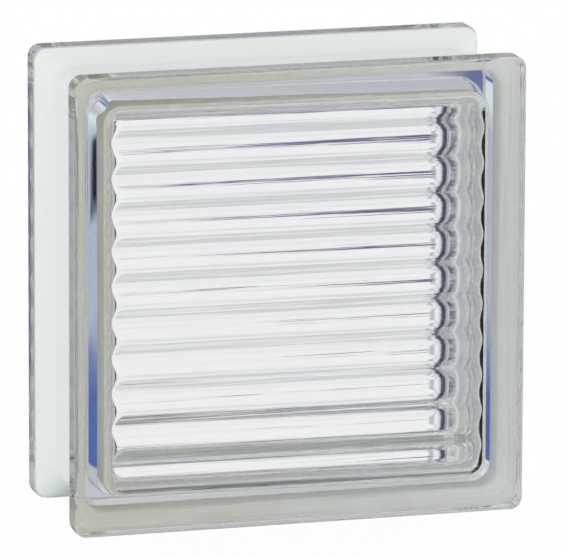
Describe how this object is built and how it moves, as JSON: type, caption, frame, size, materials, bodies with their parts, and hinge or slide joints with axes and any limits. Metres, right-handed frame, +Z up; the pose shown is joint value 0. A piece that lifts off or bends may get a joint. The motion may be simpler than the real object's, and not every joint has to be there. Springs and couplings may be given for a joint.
{
  "type": "glass block",
  "caption": "Square hollow glass building block with horizontal reeds inside both faces, proud rims and a white-coated mortar channel round its sides",
  "frame": {"origin": "centre of the footprint, on the floor that the rims stand on", "axes": "+Z up, X across the faces, Y through the block from the front face at -Y to the rear face at +Y"},
  "size_m": [0.19, 0.08, 0.19],
  "materials": {
    "glass": "clear pressed soda-lime glass with a faint green tint, fire-polished faces",
    "edge_coating": "thin opaque greenish-white coating, satin and slightly uneven"
  },
  "bodies": {
    "root": {"front_shell": "glass", "rear_shell": "glass", "edge_coating": "edge_coating"}
  },
  "joints": []
}
